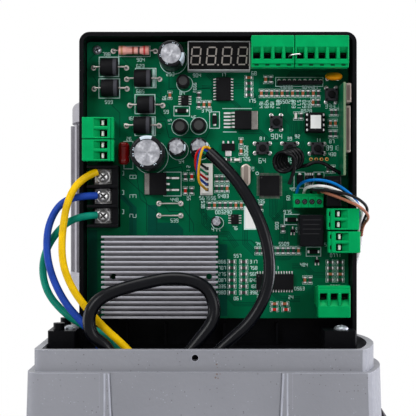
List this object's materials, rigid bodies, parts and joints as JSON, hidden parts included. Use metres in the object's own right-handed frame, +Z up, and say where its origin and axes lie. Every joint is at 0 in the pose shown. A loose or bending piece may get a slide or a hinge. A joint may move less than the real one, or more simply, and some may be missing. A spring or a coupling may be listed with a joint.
{
  "type": "gate motor",
  "caption": "Sliding-gate motor with its cover off: cast gear housing, worm drive to a rack pinion, release lever, and a wired control board in an upright tray",
  "frame": {"origin": "middle of the four foot slots on the bottom face", "axes": "X to the right seen from the board side, with the pinion on -X and the release lever on +X; Y to the back, away from the board's face; Z up"},
  "size_m": [0.2415, 0.246, 0.2874],
  "materials": {
    "cast_grey": "fine orange-peel paint",
    "cast_alloy": "as cast",
    "motor_alloy": "satin",
    "steel": "ground",
    "zinc": "zinc plated",
    "lamination": "stacked sheet",
    "copper": "enamelled copper wire",
    "bronze": "machined",
    "seal_rubber": "matt",
    "black_plastic": "fine grain",
    "dark_plastic": "fine grain",
    "board_green": "solder mask over traces",
    "heat_sink": "extruded, anodised clear",
    "plug_green": "moulded",
    "display": "dark face, grey edge",
    "sleeve_black": "shrink sleeve, bare alloy top",
    "ferrite": "shrink sleeve",
    "epoxy": "moulded epoxy",
    "resistor": "coated, colour bands",
    "coated": "dipped",
    "chip_parts": "tinned ends",
    "tinned": "tinned",
    "switch": "moulded",
    "button": "moulded",
    "relay": "moulded",
    "header_white": "moulded",
    "wire_yellow": "insulation",
    "wire_blue": "insulation",
    "wire_green": "insulation",
    "cable_black": "sheath",
    "leads": "insulation in several colours",
    "antenna": "insulation"
  },
  "bodies": {
    "housing": {"gear_housing": "cast_grey", "gearbox_deck": "cast_alloy", "gear_cover": "cast_alloy", "housing_screws": "zinc", "output_seal": "seal_rubber", "ball_bearings": "steel", "cable_grommets": "seal_rubber", "motor_sleeve": "motor_alloy", "stator_core": "lamination", "stator_winding": "copper", "motor_cap": "motor_alloy", "motor_bell": "motor_alloy", "release_escutcheon": "dark_plastic", "control_tray": "black_plastic", "tray_foot": "black_plastic", "tray_screws": "zinc", "main_board": "board_green", "heat_sink": "heat_sink", "plug_headers": "plug_green", "terminal_plugs": "plug_green", "barrier_block": "black_plastic", "barrier_clamps": "tinned", "display_module": "display", "electrolytic_capacitors": "sleeve_black", "drum_inductors": "ferrite", "power_diodes": "epoxy", "power_resistor": "resistor", "coated_capacitors": "coated", "chip_packages": "epoxy", "chip_passives": "chip_parts", "wire_leads": "tinned", "switch_bodies": "switch", "radio_board": "board_green", "metal_cans": "tinned", "relays": "relay", "signal_header": "header_white", "motor_wire_u": "wire_yellow", "motor_wire_v": "wire_blue", "motor_wire_w": "wire_green", "power_cable_loop": "cable_black", "signal_cable": "cable_black", "signal_leads": "leads", "sensor_leads": "leads", "antenna": "antenna"},
    "rotor": {"rotor_core": "lamination", "worm_shaft": "steel"},
    "output": {"output_shaft": "steel", "worm_wheel": "bronze", "drive_pinion": "zinc", "pinion_fastening": "zinc"},
    "clutch": {"clutch_sleeve": "steel", "pull_rod": "steel"},
    "carriage": {"pull_carriage": "steel"},
    "release": {"release_lever": "dark_plastic"},
    "lock": {"lock_barrel": "zinc"},
    "button_learn_cap": {"button_learn": "button"},
    "button_set_cap": {"button_set": "button"},
    "button_open_cap": {"button_open": "button"},
    "button_close_cap": {"button_close": "button"},
    "button_stop_cap": {"button_stop": "button"}
  },
  "joints": [
    {"name": "rotor_spin", "type": "hinge", "parent": "housing", "child": "rotor", "pos_m": [-0.023, 0.019, 0.15], "axis": [0, 0, 1], "continuous": true},
    {"name": "output_spin", "type": "hinge", "parent": "housing", "child": "output", "pos_m": [-0.023, -0.031, 0.06], "axis": [1, 0, 0], "continuous": true},
    {"name": "release_turn", "type": "hinge", "parent": "housing", "child": "release", "pos_m": [0.09, -0.031, 0.06], "axis": [1, 0, 0], "range_deg": [0, 90]},
    {"name": "carriage_slide", "type": "slide", "parent": "housing", "child": "carriage", "axis": [1, 0, 0], "range_m": [0, 0.0055]},
    {"name": "clutch_slide", "type": "slide", "parent": "output", "child": "clutch", "axis": [1, 0, 0], "range_m": [0, 0.0055]},
    {"name": "lock_turn", "type": "hinge", "parent": "release", "child": "lock", "pos_m": [0.1, -0.031, 0.06], "axis": [1, 0, 0], "range_deg": [0, 90]},
    {"name": "button_learn_press", "type": "slide", "parent": "housing", "child": "button_learn_cap", "axis": [0, 1, 0], "range_m": [0, 0.00025], "stiffness_N_per_m": 600},
    {"name": "button_set_press", "type": "slide", "parent": "housing", "child": "button_set_cap", "axis": [0, 1, 0], "range_m": [0, 0.00025], "stiffness_N_per_m": 600},
    {"name": "button_open_press", "type": "slide", "parent": "housing", "child": "button_open_cap", "axis": [0, 1, 0], "range_m": [0, 0.00025], "stiffness_N_per_m": 600},
    {"name": "button_close_press", "type": "slide", "parent": "housing", "child": "button_close_cap", "axis": [0, 1, 0], "range_m": [0, 0.00025], "stiffness_N_per_m": 600},
    {"name": "button_stop_press", "type": "slide", "parent": "housing", "child": "button_stop_cap", "axis": [0, 1, 0], "range_m": [0, 0.00025], "stiffness_N_per_m": 600}
  ],
  "couplings": [
    {"joint": "output_spin", "follows": "rotor_spin", "ratio": -0.033333},
    {"joint": "carriage_slide", "follows": "release_turn", "m_per_rad": 0.0035014},
    {"joint": "clutch_slide", "follows": "release_turn", "m_per_rad": 0.0035014}
  ]
}
